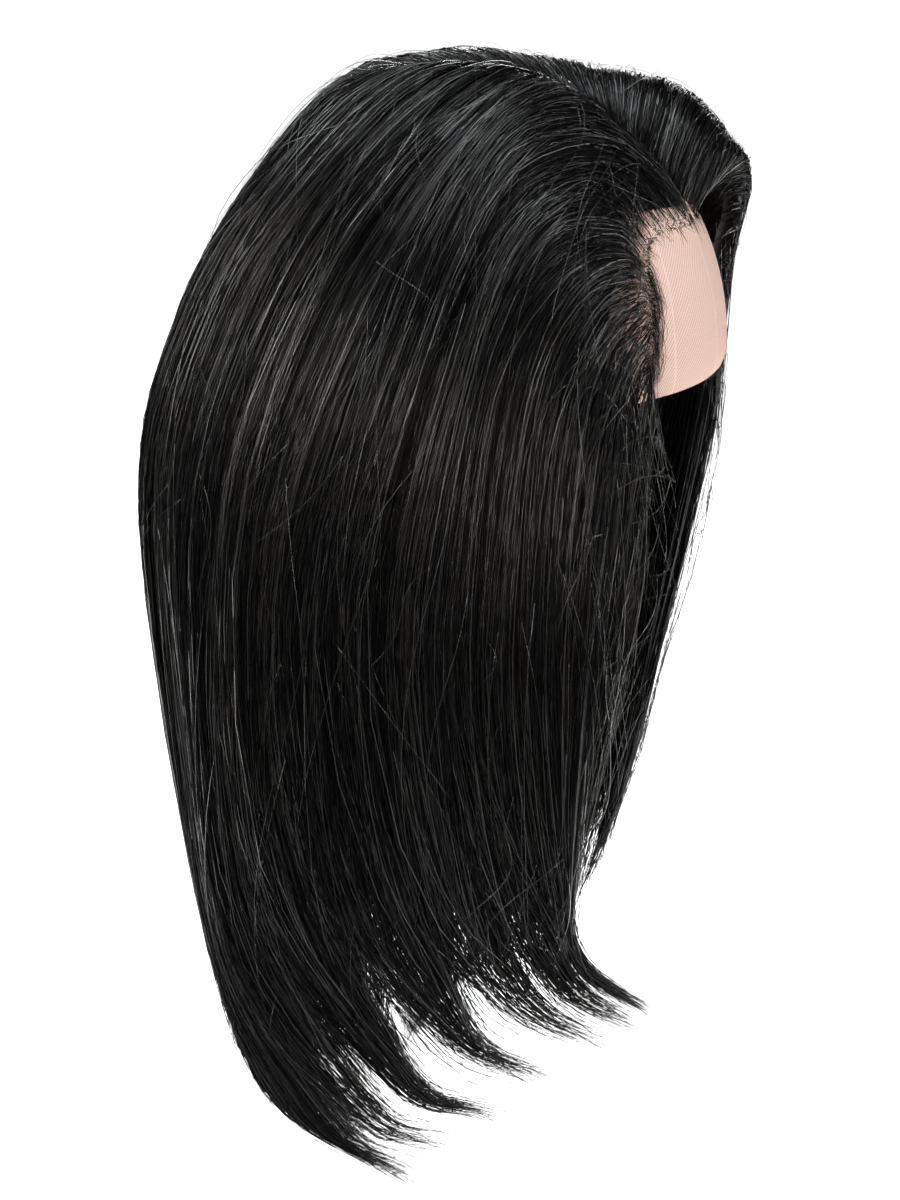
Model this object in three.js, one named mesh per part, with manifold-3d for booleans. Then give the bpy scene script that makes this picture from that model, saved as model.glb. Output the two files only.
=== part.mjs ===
// Lace front wig: a hollow cap with a lace forehead panel, and long straight hair parted in the middle.
// Millimetres, +Z up. The origin is the top of the head, -Y is the face and -X the wearer's right.
// The hair is six sections of locks. Each section is one wall whose locks part from each other at the hem.
import * as THREE from "three";
import { mergeVertices } from "three/addons/utils/BufferGeometryUtils.js";
import Module from "manifold-3d";

const wasm = await Module();
wasm.setup();

// Cap: an adult head of about 54 cm round, measured inside the net.
const HEAD_HALF_WIDTH = 75;
const HEAD_HALF_LENGTH = 96;
const HEAD_DOME_HEIGHT = 107;
const CAP_WALL = 1.2;
const CAP_COLUMNS = 36;
const DOME_RINGS = 7;

// Rim of the cap, by the angle round the head from the middle of the forehead.
const RIM = [
  { at: "forehead", angle: 0, z: -116 },
  { at: "brow_end", angle: 35, z: -119 },
  { at: "temple", angle: 60, z: -124 },
  { at: "ear_tab", angle: 85, z: -138 },
  { at: "over_ear", angle: 105, z: -116 },
  { at: "behind_ear", angle: 130, z: -132 },
  { at: "nape_side", angle: 155, z: -156 },
  { at: "nape", angle: 180, z: -162 },
];

// Seam between the lace and the net cap: a tilted plane from the top of the head to in front of the ears.
const SEAM_TOP_Y = 6;
const SEAM_EAR = { y: -30, z: -118 };
const SEAM_BLOCK = 600;
const PIECE_GAP = 0.4;
const BELOW_RIM = 10;

// Hair guides, from the right temple back to the nape. Each gives x outwards, y and z at eight stations.
// Where the left side repeats a guide, its tip stays back by the sweep and its hem by a share of it.
const HEM_SWEEP = 0.35;
const STATIONS = ["root", "crest", "shoulder", "ear", "waist", "bend", "hem", "tip"];
const RIGHT_GUIDES = [
  { guide: "temple", root: [46, -77, -116], crest: [53, -82, -118], shoulder: [60, -83, -132],
    ear: [67, -82, -175], waist: [74, -75, -235], bend: [76, -60, -312],
    hem: [70, -58, -352], tip: [57, -80, -383] },
  { guide: "hairline", root: [42, -78, -84], crest: [56, -78, -79], shoulder: [71, -70, -90],
    ear: [86, -62, -130], waist: [93, -57, -215], bend: [88, -54, -315],
    hem: [77, -54, -361], tip: [60, -76, -393] },
  { guide: "recess", root: [33, -74, -55], crest: [48, -63, -43], shoulder: [72, -46, -56],
    ear: [92, -28, -110], waist: [102, -20, -215], bend: [95, -24, -322],
    hem: [82, -32, -373], tip: [63, -60, -405] },
  { guide: "part_end", root: [6, -82, -51], crest: [24, -60, -22], shoulder: [62, -36, -34],
    ear: [92, -19, -90], waist: [105, 0, -200], bend: [100, -4, -325],
    hem: [85, -14, -385], tip: [66, -42, -417] },
  { guide: "part_front", root: [2, -60, -24], crest: [20, -40, -1], shoulder: [57, -20, -16],
    ear: [92, -4, -76], waist: [107, 22, -190], bend: [103, 20, -330],
    hem: [86, 4, -402], tip: [66, -24, -433] },
  { guide: "part_mid", root: [1.5, -36, -7], crest: [20, -14, 7], shoulder: [60, 6, -22],
    ear: [91, 28, -82], waist: [105, 58, -190], bend: [100, 61, -340],
    hem: [80, 26, -426], tip: [59, -2, -453], sweep: 48 },
  { guide: "crown", root: [1.5, -12, 0], crest: [20, 18, 9], shoulder: [58, 44, -22],
    ear: [82, 73, -87], waist: [94, 97, -185], bend: [88, 96, -352],
    hem: [67, 58, -448], tip: [46, 26, -484], sweep: 44 },
  { guide: "back_side", root: [1.5, 8, 1], crest: [14, 56, 3], shoulder: [37, 88, -30],
    ear: [56, 121, -95], waist: [63, 139, -184], bend: [56, 119, -362],
    hem: [40, 100, -452], tip: [28, 58, -496], sweep: 22 },
  { guide: "back", root: [0, 16, 0], crest: [0, 60, 1], shoulder: [0, 92, -30],
    ear: [0, 126, -96], waist: [0, 143, -184], bend: [0, 126, -366],
    hem: [0, 110, -454], tip: [0, 70, -498] },
];

// On the left the front hair swoops forward over the brow instead of being combed back.
const LEFT_FRONT_GUIDES = [
  { guide: "temple", root: [46, -77, -116], crest: [51, -79, -118], shoulder: [57, -80, -132],
    ear: [66, -78, -160], waist: [77, -65, -220], bend: [82, -46, -298],
    hem: [77, -40, -328], tip: [70, -34, -348] },
  { guide: "hairline", root: [42, -78, -84], crest: [50, -83, -80], shoulder: [60, -83, -96],
    ear: [72, -77, -140], waist: [84, -61, -215], bend: [88, -43, -310],
    hem: [80, -34, -346], tip: [69, -28, -370] },
  { guide: "recess", root: [33, -74, -55], crest: [47, -97, -40], shoulder: [62, -85, -74],
    ear: [76, -73, -130], waist: [90, -53, -205], bend: [92, -36, -318],
    hem: [82, -27, -362], tip: [67, -20, -393] },
  { guide: "part_end", root: [6, -82, -51], crest: [32, -91, -19], shoulder: [58, -82, -44],
    ear: [80, -67, -104], waist: [97, -38, -190], bend: [97, -18, -322],
    hem: [84, -8, -374], tip: [66, 0, -408] },
  { guide: "part_front", root: [2, -60, -24], crest: [25, -61, 2], shoulder: [56, -56, -18],
    ear: [84, -41, -82], waist: [103, -8, -175], bend: [102, 8, -326],
    hem: [87, 18, -388], tip: [68, 26, -426] },
];

// Hair wall at each station: its depth, the line between two locks and how far a lock's middle stands out.
const WALL = {
  depth: { root: 3, crest: 9, shoulder: 10, ear: 10, waist: 10, bend: 8, hem: 5, tip: 1.5 },
  valley: { root: -0.4, crest: 0.5, shoulder: 1.5, ear: 2, waist: 2.5, bend: 2.5, hem: 1, tip: 0 },
  ridge: { root: 1.2, crest: 2.5, shoulder: 3, ear: 3.2, waist: 3.5, bend: 3.5, hem: 2.5, tip: 0.8 },
};

// The hair thins towards the line through the head's middle, this far back and no lower than this height.
const HEAD_MIDDLE = { y: 12, z: -100 };

// Sections of hair, as runs of guides counted from the right temple round to the left one.
const SECTIONS = [
  { name: "hair_front_right", from: 0, to: 3, locks: 7 },
  { name: "hair_side_right", from: 3, to: 6, locks: 6 },
  { name: "hair_back_right", from: 6, to: 8, locks: 6 },
  { name: "hair_back_left", from: 8, to: 10, locks: 6 },
  { name: "hair_side_left", from: 10, to: 13, locks: 6 },
  { name: "hair_front_left", from: 13, to: 16, locks: 7 },
];
const SECTION_GAP = 0.8;
const SHEET_STEPS = 11;
const TIP_STEPS = 5;

// Locks part from each other at a station just past the bend, and thin out from there to their tips.
const SPLIT = 5.2;
const TIP_WIDTH = 0.12;
const THIN_TIP = 0.4;
const SHORTEST_TIP = 6.75;
const FULLNESS = { least: 0.6, most: 1.3 };

// A lock's section: its outer points from side to side with their share of the ridge, then its inner points.
const OUTER = [
  { across: 0, rise: 0 },
  { across: 0.25, rise: 0.75 },
  { across: 0.5, rise: 1 },
  { across: 0.75, rise: 0.75 },
  { across: 1, rise: 0 },
];
const INNER = [1, 0.5, 0];

// How a lock's end is closed: outer points 0 to 4, inner points 5 to 7.
const RING_FACES = [[0, 1, 7], [1, 6, 7], [1, 2, 6], [2, 3, 6], [3, 5, 6], [3, 4, 5]];

const HAIR = new THREE.MeshStandardMaterial({ color: 0x17171a, roughness: 0.42, metalness: 0 });
const LACE = new THREE.MeshStandardMaterial({ color: 0xe3c5b9, roughness: 0.9, metalness: 0 });
const NET = new THREE.MeshStandardMaterial({ color: 0x1e1b1a, roughness: 0.85, metalness: 0 });

// Solids

function solidFromTriangles(points, triangles) {
  const geometry = new THREE.BufferGeometry().setFromPoints(points);
  geometry.setIndex(triangles.flat());
  return solidFromGeometry(geometry);
}

function solidFromGeometry(geometry) {
  geometry.deleteAttribute("normal");
  geometry.deleteAttribute("uv");
  const merged = mergeVertices(geometry, 1e-3);
  return new wasm.Manifold(new wasm.Mesh({
    numProp: 3,
    vertProperties: merged.attributes.position.array,
    triVerts: new Uint32Array(merged.index.array),
  }));
}

function largestBody(solid) {
  return solid.decompose().sort((a, b) => b.volume() - a.volume())[0];
}

function namedMesh(name, solid, material) {
  const { numProp, vertProperties, triVerts } = largestBody(solid).getMesh();
  const geometry = new THREE.BufferGeometry();
  geometry.setAttribute("position", new THREE.BufferAttribute(vertProperties, numProp));
  geometry.setIndex(new THREE.BufferAttribute(triVerts, 1));
  geometry.computeVertexNormals();
  const mesh = new THREE.Mesh(geometry, material);
  mesh.name = name;
  return mesh;
}

// Cap and lace

function rimHeight(angle) {
  const degrees = Math.abs(THREE.MathUtils.radToDeg(angle));
  const next = Math.max(1, RIM.findIndex((row) => row.angle >= degrees - 1e-6));
  const [a, b] = [RIM[next - 1], RIM[next]];
  return THREE.MathUtils.mapLinear(degrees, a.angle, b.angle, a.z, b.z);
}

// The head down to the cap's rim, as a closed solid, grown outwards and with its rim dropped.
function headForm(grow, drop) {
  const [halfWidth, halfLength] = [HEAD_HALF_WIDTH + grow, HEAD_HALF_LENGTH + grow];
  const points = [new THREE.Vector3(0, 0, grow)];
  const triangles = [];
  const rings = DOME_RINGS + 1;
  for (let ring = 1; ring <= rings; ring++) {
    const tilt = (Math.min(ring, DOME_RINGS) / DOME_RINGS) * (Math.PI / 2);
    for (let column = 0; column < CAP_COLUMNS; column++) {
      const angle = (column / CAP_COLUMNS) * 2 * Math.PI - Math.PI;
      const onDome = (HEAD_DOME_HEIGHT + grow) * Math.cos(tilt) - HEAD_DOME_HEIGHT;
      const z = ring > DOME_RINGS ? rimHeight(angle) - drop : onDome;
      const reach = Math.sin(tilt);
      points.push(new THREE.Vector3(
        -halfWidth * reach * Math.sin(angle), -halfLength * reach * Math.cos(angle), z));
    }
  }
  const at = (ring, column) => 1 + (ring - 1) * CAP_COLUMNS + (column % CAP_COLUMNS);
  const floor = points.push(new THREE.Vector3(0, 0, rimHeight(Math.PI / 2) - drop)) - 1;
  for (let column = 0; column < CAP_COLUMNS; column++) {
    triangles.push([0, at(1, column + 1), at(1, column)]);
    triangles.push([floor, at(rings, column), at(rings, column + 1)]);
    for (let ring = 1; ring < rings; ring++) {
      triangles.push([at(ring, column), at(ring, column + 1), at(ring + 1, column)]);
      triangles.push([at(ring, column + 1), at(ring + 1, column + 1), at(ring + 1, column)]);
    }
  }
  return solidFromTriangles(points, triangles);
}

// All that lies in front of the seam plane, moved back from it by some distance.
function frontOfSeam(back) {
  const tilt = Math.atan2(SEAM_TOP_Y - SEAM_EAR.y, -SEAM_EAR.z);
  const block = new THREE.BoxGeometry(SEAM_BLOCK, SEAM_BLOCK, SEAM_BLOCK);
  block.translate(0, back - SEAM_BLOCK / 2, 0);
  block.rotateX(-tilt);
  block.translate(0, SEAM_TOP_Y, 0);
  return solidFromGeometry(block);
}

// Hair

function guideCurves() {
  const curve = (guide, side, unswept) => new THREE.CatmullRomCurve3(
    STATIONS.map((station) => {
      const [x, y, z] = guide[station];
      return new THREE.Vector3(x * side, y + (unswept[station] ?? 0), z);
    }), false, "catmullrom");
  const right = RIGHT_GUIDES.map((guide) => curve(guide, -1, {}));
  const mirrored = RIGHT_GUIDES.slice(LEFT_FRONT_GUIDES.length, -1)
    .map((guide) => curve(guide, 1, { hem: guide.sweep * HEM_SWEEP, tip: guide.sweep }));
  const left = [...LEFT_FRONT_GUIDES.map((guide) => curve(guide, 1, {})), ...mirrored];
  return [...right, ...left.reverse()];
}

const CURVES = guideCurves();

// The hair's surface: a guide number, counted from the right temple, and a station number from root to tip.
function hairPoint(guide, station) {
  const across = CURVES.map((curve) => curve.getPoint(station / (STATIONS.length - 1)));
  return new THREE.CatmullRomCurve3(across, false, "catmullrom").getPoint(guide / (CURVES.length - 1));
}

function inwards(point) {
  const middle = new THREE.Vector3(0, HEAD_MIDDLE.y, Math.min(point.z, HEAD_MIDDLE.z));
  return middle.sub(point).normalize();
}

function wallSize(kind, station) {
  const before = Math.min(Math.floor(station), STATIONS.length - 2);
  const [a, b] = [WALL[kind][STATIONS[before]], WALL[kind][STATIONS[before + 1]]];
  return THREE.MathUtils.lerp(a, b, station - before);
}

// A share from 0 to 1 that looks random but is the same on each run.
function shareOf(number, seed) {
  const wave = Math.sin(number * 12.9898 + seed * 78.233) * 43758.5453;
  return wave - Math.floor(wave);
}

// One ring of a lock, from its left side over the outer face and back along the inner one.
function lockRing(lock, station) {
  const past = Math.max(0, (station - SPLIT) / (lock.tip - SPLIT));
  const width = THREE.MathUtils.lerp(1, TIP_WIDTH, past ** 2);
  const thinning = THREE.MathUtils.lerp(1, THIN_TIP, past);
  const onSurface = (across) => hairPoint(lock.middle + (across - 0.5) * width * lock.span, station);
  const offset = (across, distance) => {
    const point = onSurface(across);
    const sideStep = across === lock.sectionEdge ? SECTION_GAP / 2 : 0;
    const towardsMiddle = onSurface(0.5).sub(point).normalize();
    const inward = inwards(point);
    return point.addScaledVector(towardsMiddle, sideStep).addScaledVector(inward, distance);
  };
  const valley = wallSize("valley", station);
  const ridge = wallSize("ridge", station) * lock.fullness * thinning;
  const depth = wallSize("depth", station) * thinning;
  return [
    ...OUTER.map(({ across, rise }) => offset(across, valley - ridge * rise)),
    ...INNER.map((across) => offset(across, valley + depth)),
  ];
}

// A section of hair: its locks share their sides down to the split, and end in tips of their own.
function hairSection({ name, from, to, locks: count }) {
  const points = [];
  const triangles = [];
  const ringSize = OUTER.length + INNER.length;
  const span = (to - from) / count;
  for (let number = 0; number < count; number++) {
    const lock = {
      span,
      middle: from + (number + 0.5) * span,
      sectionEdge: number === 0 ? 0 : number === count - 1 ? 1 : null,
      tip: THREE.MathUtils.lerp(SHORTEST_TIP, STATIONS.length - 1, shareOf(number, from)),
      fullness: THREE.MathUtils.lerp(FULLNESS.least, FULLNESS.most, shareOf(number + 0.5, from)),
    };
    const sheet = Array.from({ length: SHEET_STEPS }, (_, step) => (step / SHEET_STEPS) * SPLIT);
    const tips = Array.from({ length: TIP_STEPS + 1 },
      (_, step) => THREE.MathUtils.lerp(SPLIT, lock.tip, step / TIP_STEPS));
    const start = points.length;
    const stations = [...sheet, ...tips];
    for (const station of stations) points.push(...lockRing(lock, station));
    const at = (row, index) => start + row * ringSize + (index % ringSize);
    for (let row = 0; row + 1 < stations.length; row++) {
      const joined = row < SHEET_STEPS;
      for (let edge = 0; edge < ringSize; edge++) {
        const rightSide = edge === OUTER.length - 1 && number + 1 < count;
        const leftSide = edge === ringSize - 1 && number > 0;
        if (joined && (rightSide || leftSide)) continue;
        triangles.push([at(row, edge), at(row, edge + 1), at(row + 1, edge)]);
        triangles.push([at(row, edge + 1), at(row + 1, edge + 1), at(row + 1, edge)]);
      }
    }
    const last = stations.length - 1;
    for (const [a, b, c] of RING_FACES) {
      triangles.push([at(0, a), at(0, c), at(0, b)]);
      triangles.push([at(last, a), at(last, b), at(last, c)]);
    }
  }
  return { name, solid: solidFromTriangles(points, triangles) };
}

// Assembly

const shell = headForm(CAP_WALL, 0).subtract(headForm(0, BELOW_RIM));
const wig = new THREE.Group();
wig.add(namedMesh("lace_front", shell.intersect(frontOfSeam(0)), LACE));
wig.add(namedMesh("cap", shell.subtract(frontOfSeam(PIECE_GAP)), NET));
const clearOfCap = headForm(CAP_WALL + PIECE_GAP, 0);
for (const section of SECTIONS) {
  const { name, solid } = hairSection(section);
  wig.add(namedMesh(name, solid.subtract(clearOfCap), HAIR));
}

export default wig;
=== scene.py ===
import math

import bmesh
import bpy
import numpy as np
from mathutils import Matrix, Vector


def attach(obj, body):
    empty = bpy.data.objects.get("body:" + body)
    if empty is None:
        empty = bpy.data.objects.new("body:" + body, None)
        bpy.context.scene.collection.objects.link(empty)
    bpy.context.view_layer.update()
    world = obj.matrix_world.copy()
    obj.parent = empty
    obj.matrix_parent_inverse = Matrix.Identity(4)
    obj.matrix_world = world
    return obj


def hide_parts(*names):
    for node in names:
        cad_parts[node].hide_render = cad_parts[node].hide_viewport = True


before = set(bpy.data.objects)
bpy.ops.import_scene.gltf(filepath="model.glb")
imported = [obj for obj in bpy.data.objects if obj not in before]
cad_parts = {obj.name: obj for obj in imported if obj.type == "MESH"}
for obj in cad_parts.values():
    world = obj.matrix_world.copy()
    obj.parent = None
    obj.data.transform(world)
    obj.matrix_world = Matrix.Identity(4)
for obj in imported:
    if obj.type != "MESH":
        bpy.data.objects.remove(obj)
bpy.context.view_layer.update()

# Studio
# A plain pale floor that curves up at its rim lies far below the wig, and soft lights stand round it.
# The camera is on the wearer's right, a little in front of the face, and looks down at the parting.
MM = 0.001
PHOTO_HEIGHT = 1200
PHOTO_PIXELS_PER_METRE = 2300
CAMERA_AIM = Vector((0, 0.022, -0.229))
CAMERA_AZIMUTH = -72
CAMERA_ELEVATION = 18.5
CAMERA_DISTANCE = 1.7
SENSOR_MM = 36
FLOOR_RINGS = [
    {"radius": 5, "height": -0.8}, {"radius": 6.5, "height": -0.6}, {"radius": 7.6, "height": 0.2},
    {"radius": 8, "height": 1.5}, {"radius": 8, "height": 12},
]
FLOOR_COLUMNS = 48
FLOOR_WHITE = (0.9, 0.9, 0.9, 1)
FLOOR_GLOW = 1.15
FLOOR_ROUGHNESS = 0.9
ROOM_LIGHT = (0.92, 0.96, 1.0, 1)
ROOM_STRENGTH = 0.03
LIGHTS = [
    {"name": "overhead", "azimuth": -90, "elevation": 76, "away": 1.5, "size": 0.7, "watts": 15,
     "colour": (0.93, 0.97, 1.0)},
    {"name": "upper_side", "azimuth": -85, "elevation": 46, "away": 1.7, "size": 0.7, "watts": 5,
     "colour": (0.96, 0.98, 1.0)},
    {"name": "near_side", "azimuth": -82, "elevation": -3, "away": 1.9, "size": 0.4, "watts": 9.8,
     "colour": (1.0, 0.93, 0.84)},
    {"name": "behind", "azimuth": -150, "elevation": 16, "away": 1.8, "size": 0.8, "watts": 15,
     "colour": (1.0, 1.0, 1.0)},
    {"name": "face", "azimuth": -10, "elevation": 4, "away": 1.7, "size": 0.8, "watts": 16.5,
     "colour": (1.0, 0.98, 0.96)},
    {"name": "far_side", "azimuth": 104, "elevation": 24, "away": 1.9, "size": 0.8, "watts": 30,
     "colour": (1.0, 1.0, 1.0)},
    {"name": "behind_above", "azimuth": 172, "elevation": 46, "away": 1.6, "size": 0.8, "watts": 17,
     "colour": (0.95, 0.98, 1.0)},
    {"name": "behind_below", "azimuth": 172, "elevation": -25, "away": 1.6, "size": 0.7, "watts": 6.5,
     "colour": (1.0, 1.0, 1.0)},
    {"name": "face_below", "azimuth": 34, "elevation": -27, "away": 1.6, "size": 0.7, "watts": 13,
     "colour": (1.0, 1.0, 1.0)},
    {"name": "under_chin", "azimuth": 0, "elevation": -38, "away": 0.42, "size": 0.25, "watts": 0.7,
     "colour": (1.0, 0.99, 0.97)},
    {"name": "from_below", "azimuth": -100, "elevation": -48, "away": 0.65, "size": 0.6, "watts": 1.0,
     "colour": (1.0, 1.0, 1.0)},
]


def towards(azimuth, elevation):
    """The direction from the wig to a place round it, where azimuth 0 faces the wearer."""
    turn = math.radians(azimuth)
    rise = math.radians(elevation)
    return Vector((math.sin(turn) * math.cos(rise), -math.cos(turn) * math.cos(rise), math.sin(rise)))


def stand(thing, azimuth, elevation, away, aim):
    """Places a camera or a light round the wig and turns it to the aim."""
    thing.location = aim + away * towards(azimuth, elevation)
    thing.rotation_euler = (aim - thing.location).to_track_quat("-Z", "Y").to_euler()
    bpy.context.scene.collection.objects.link(thing)


camera = bpy.data.objects.new("camera", bpy.data.cameras.new("camera"))
camera.data.sensor_width = SENSOR_MM
camera.data.lens = SENSOR_MM * CAMERA_DISTANCE * PHOTO_PIXELS_PER_METRE / PHOTO_HEIGHT
stand(camera, CAMERA_AZIMUTH, CAMERA_ELEVATION, CAMERA_DISTANCE, CAMERA_AIM)
bpy.context.scene.camera = camera
bpy.context.scene.view_settings.view_transform = "Standard"

for row in LIGHTS:
    light = bpy.data.objects.new(row["name"], bpy.data.lights.new(row["name"], "AREA"))
    light.data.shape = "DISK"
    light.data.size = row["size"]
    light.data.energy = row["watts"]
    light.data.color = row["colour"]
    light.visible_camera = False
    stand(light, row["azimuth"], row["elevation"], row["away"], CAMERA_AIM)

room = bpy.data.worlds.new("room")
room.use_nodes = True
room.node_tree.nodes["Background"].inputs["Color"].default_value = ROOM_LIGHT
room.node_tree.nodes["Background"].inputs["Strength"].default_value = ROOM_STRENGTH
bpy.context.scene.world = room

floor_mesh = bpy.data.meshes.new("floor")
floor_turns = [2 * math.pi * column / FLOOR_COLUMNS for column in range(FLOOR_COLUMNS)]
floor_points = [
    (row["radius"] * math.cos(turn), row["radius"] * math.sin(turn), row["height"])
    for row in FLOOR_RINGS for turn in floor_turns
]
floor_faces = [tuple(range(FLOOR_COLUMNS))]
for ring in range(len(FLOOR_RINGS) - 1):
    for column in range(FLOOR_COLUMNS):
        here = ring * FLOOR_COLUMNS + column
        beside = ring * FLOOR_COLUMNS + (column + 1) % FLOOR_COLUMNS
        floor_faces.append((here, beside, beside + FLOOR_COLUMNS, here + FLOOR_COLUMNS))
floor_mesh.from_pydata(floor_points, [], floor_faces)
floor = bpy.data.objects.new("floor", floor_mesh)
bpy.context.scene.collection.objects.link(floor)
floor_paint = bpy.data.materials.new("floor_paint")
floor_paint.use_nodes = True
floor_surface = floor_paint.node_tree.nodes["Principled BSDF"].inputs
floor_surface["Base Color"].default_value = FLOOR_WHITE
floor_surface["Emission Color"].default_value = FLOOR_WHITE
floor_surface["Emission Strength"].default_value = FLOOR_GLOW
floor_surface["Roughness"].default_value = FLOOR_ROUGHNESS
floor_mesh.materials.append(floor_paint)
floor.visible_glossy = False
floor.visible_diffuse = False

# Net cap
# The back of the cap is a black stretch net that fits the head, from ear to ear and down to the nape.
# It carries the rows of hair and is sewn to the lace along a seam over the top of the head.
HEAD_HALF_WIDTH = 75 * MM
HEAD_HALF_LENGTH = 96 * MM
HEAD_DOME_HEIGHT = 107 * MM
CAP_WALL = 1.2 * MM
NET_THICKNESS = 0.5 * MM
CAP_COLUMNS = 144
DOME_RINGS = 36
WALL_RINGS = 8
# The cap's rim, by degrees round from the middle of the forehead, in millimetres up.
RIM = [
    {"turn": 0, "up": -116}, {"turn": 35, "up": -119}, {"turn": 60, "up": -124},
    {"turn": 85, "up": -138}, {"turn": 105, "up": -116}, {"turn": 130, "up": -132},
    {"turn": 155, "up": -156}, {"turn": 180, "up": -162},
]
SEAM_TOP_Y = 6 * MM
SEAM_SLOPE = 36 / 118
SEAM_GAP = 0.4 * MM
NET_PITCH = 1.6 * MM
NET_SHARPNESS = 2.0
NET_RELIEF = 0.3 * MM
NET_BLACK = (0.010, 0.009, 0.009, 1)
NET_GREY = (0.030, 0.028, 0.027, 1)


class Wire:
    """One output of a shader node, so that shader maths is written as a Python expression."""

    def __init__(self, socket):
        self.socket = socket
        self.tree = socket.id_data

    def make(self, kind, settings=None, inputs=None, output=0):
        """Adds a node of any kind. Its settings are set first, then the values or links of its sockets."""
        node = self.tree.nodes.new(kind)
        for setting, value in (settings or {}).items():
            setattr(node, setting, value)
        for name, value in (inputs or {}).items():
            join(node.inputs[name], value)
        return Wire(node.outputs[output])

    def maths(self, operation, first, second=0.0):
        return self.make("ShaderNodeMath", {"operation": operation}, {0: first, 1: second})

    def __add__(self, other):
        return self.maths("ADD", self, other)

    def __radd__(self, other):
        return self.maths("ADD", other, self)

    def __sub__(self, other):
        return self.maths("SUBTRACT", self, other)

    def __rsub__(self, other):
        return self.maths("SUBTRACT", other, self)

    def __mul__(self, other):
        return self.maths("MULTIPLY", self, other)

    def __pow__(self, other):
        return self.maths("POWER", self, other)

    def wave(self):
        return self.maths("SINE", self)

    def size(self):
        return self.maths("ABSOLUTE", self)

    def at_least(self, least):
        return self.maths("MAXIMUM", self, least)

    def along(self, axis):
        """One number of a vector: 0 for x, 1 for y, 2 for z."""
        return self.make("ShaderNodeSeparateXYZ", inputs={0: self}, output=axis)

    def stretched(self, x, y):
        """A flat vector with both of its numbers scaled."""
        return self.make("ShaderNodeVectorMath", {"operation": "MULTIPLY"}, {0: self, 1: (x, y, 0.0)})

    def noise(self, scale, detail=2.0):
        """Soft noise from 0 to 1 at this place."""
        return self.make("ShaderNodeTexNoise", inputs={"Vector": self, "Scale": scale, "Detail": detail})

    def colours(self, low, high):
        """A colour between two, where this number is the share of the second."""
        return self.make("ShaderNodeMix", {"data_type": "RGBA"}, {0: self, 6: low, 7: high}, output=2)

    def relief(self, height):
        """A normal for a surface that this number raises, by this height at 1."""
        return self.make("ShaderNodeBump", inputs={"Height": self, "Distance": height})


def join(socket, value):
    """Links a wire to a socket, or sets the socket's own value."""
    if isinstance(value, Wire):
        value.tree.links.new(value.socket, socket)
    else:
        socket.default_value = value


def finish(name, **constants):
    """A material, the sockets of its surface, and a wire that carries the mesh's own flat map in metres."""
    material = bpy.data.materials.new(name)
    material.use_nodes = True
    surface = material.node_tree.nodes["Principled BSDF"].inputs
    for socket, value in constants.items():
        surface[socket.replace("_", " ").title().replace("Ior", "IOR")].default_value = value
    coordinates = material.node_tree.nodes.new("ShaderNodeTexCoord")
    return material, surface, Wire(coordinates.outputs["UV"])


def head_points(grow, tuck):
    """The head's surface, grown outwards, as rings from the top down to a rim drawn in by the tuck."""
    angle = np.linspace(-np.pi, np.pi, CAP_COLUMNS, endpoint=False)
    turns = [row["turn"] for row in RIM]
    rim = np.interp(np.abs(np.degrees(angle)), turns, [row["up"] for row in RIM]) * MM
    tilt = np.linspace(0, np.pi / 2, DOME_RINGS + 1)[1:, None]
    share = np.linspace(0, 1, WALL_RINGS + 1)[1:, None]
    reach = np.concatenate([np.sin(tilt), 1 - tuck / HEAD_HALF_LENGTH * share ** 2])
    dome = np.repeat((HEAD_DOME_HEIGHT + grow) * np.cos(tilt) - HEAD_DOME_HEIGHT, CAP_COLUMNS, axis=1)
    wall = dome[-1] + share * (rim - dome[-1])
    x = -(HEAD_HALF_WIDTH + grow) * reach * np.sin(angle)
    y = -(HEAD_HALF_LENGTH + grow) * reach * np.cos(angle)
    return np.stack([x, y, np.concatenate([dome, wall])], axis=-1)


def head_map(point):
    """A place on the head laid flat: metres round it from the middle of the forehead, and metres up."""
    angle = math.atan2(-point.x / HEAD_HALF_WIDTH, -point.y / HEAD_HALF_LENGTH)
    above = max(point.z + HEAD_DOME_HEIGHT, 0) / (HEAD_DOME_HEIGHT + CAP_WALL)
    up = math.asin(min(above, 1)) * HEAD_HALF_LENGTH + min(point.z + HEAD_DOME_HEIGHT, 0)
    return [angle * HEAD_HALF_LENGTH, up]


def head_sheet(name, in_front, tuck):
    """A thin sheet on the head, in front of the seam or behind it."""
    rings = head_points(CAP_WALL, tuck)
    shell = bmesh.new()
    top = shell.verts.new((0, 0, CAP_WALL))
    grid = [[shell.verts.new(point) for point in ring] for ring in rings]
    for column in range(CAP_COLUMNS):
        following = (column + 1) % CAP_COLUMNS
        shell.faces.new((top, grid[0][following], grid[0][column]))
        for upper, lower in zip(grid, grid[1:]):
            shell.faces.new((upper[column], upper[following], lower[following], lower[column]))
    side = 1 if in_front else -1
    bmesh.ops.bisect_plane(
        shell, geom=[*shell.verts, *shell.edges, *shell.faces], clear_outer=True,
        plane_co=(0, SEAM_TOP_Y - side * SEAM_GAP / 2, 0), plane_no=(0, side, -side * SEAM_SLOPE))
    flat_map = shell.loops.layers.uv.new("flat")
    round_the_head = 2 * math.pi * HEAD_HALF_LENGTH
    for face in shell.faces:
        face.smooth = True
        places = [head_map(loop.vert.co) for loop in face.loops]
        rightmost = max(place[0] for place in places)
        for loop, place in zip(face.loops, places):
            if rightmost - place[0] > round_the_head / 2:
                place[0] += round_the_head
            loop[flat_map].uv = place
    mesh = bpy.data.meshes.new(name)
    shell.to_mesh(mesh)
    shell.free()
    sheet = bpy.data.objects.new(name, mesh)
    bpy.context.scene.collection.objects.link(sheet)
    wall = sheet.modifiers.new("thickness", "SOLIDIFY")
    wall.thickness = NET_THICKNESS
    wall.offset = -1
    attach(sheet, "root")
    return sheet


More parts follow.
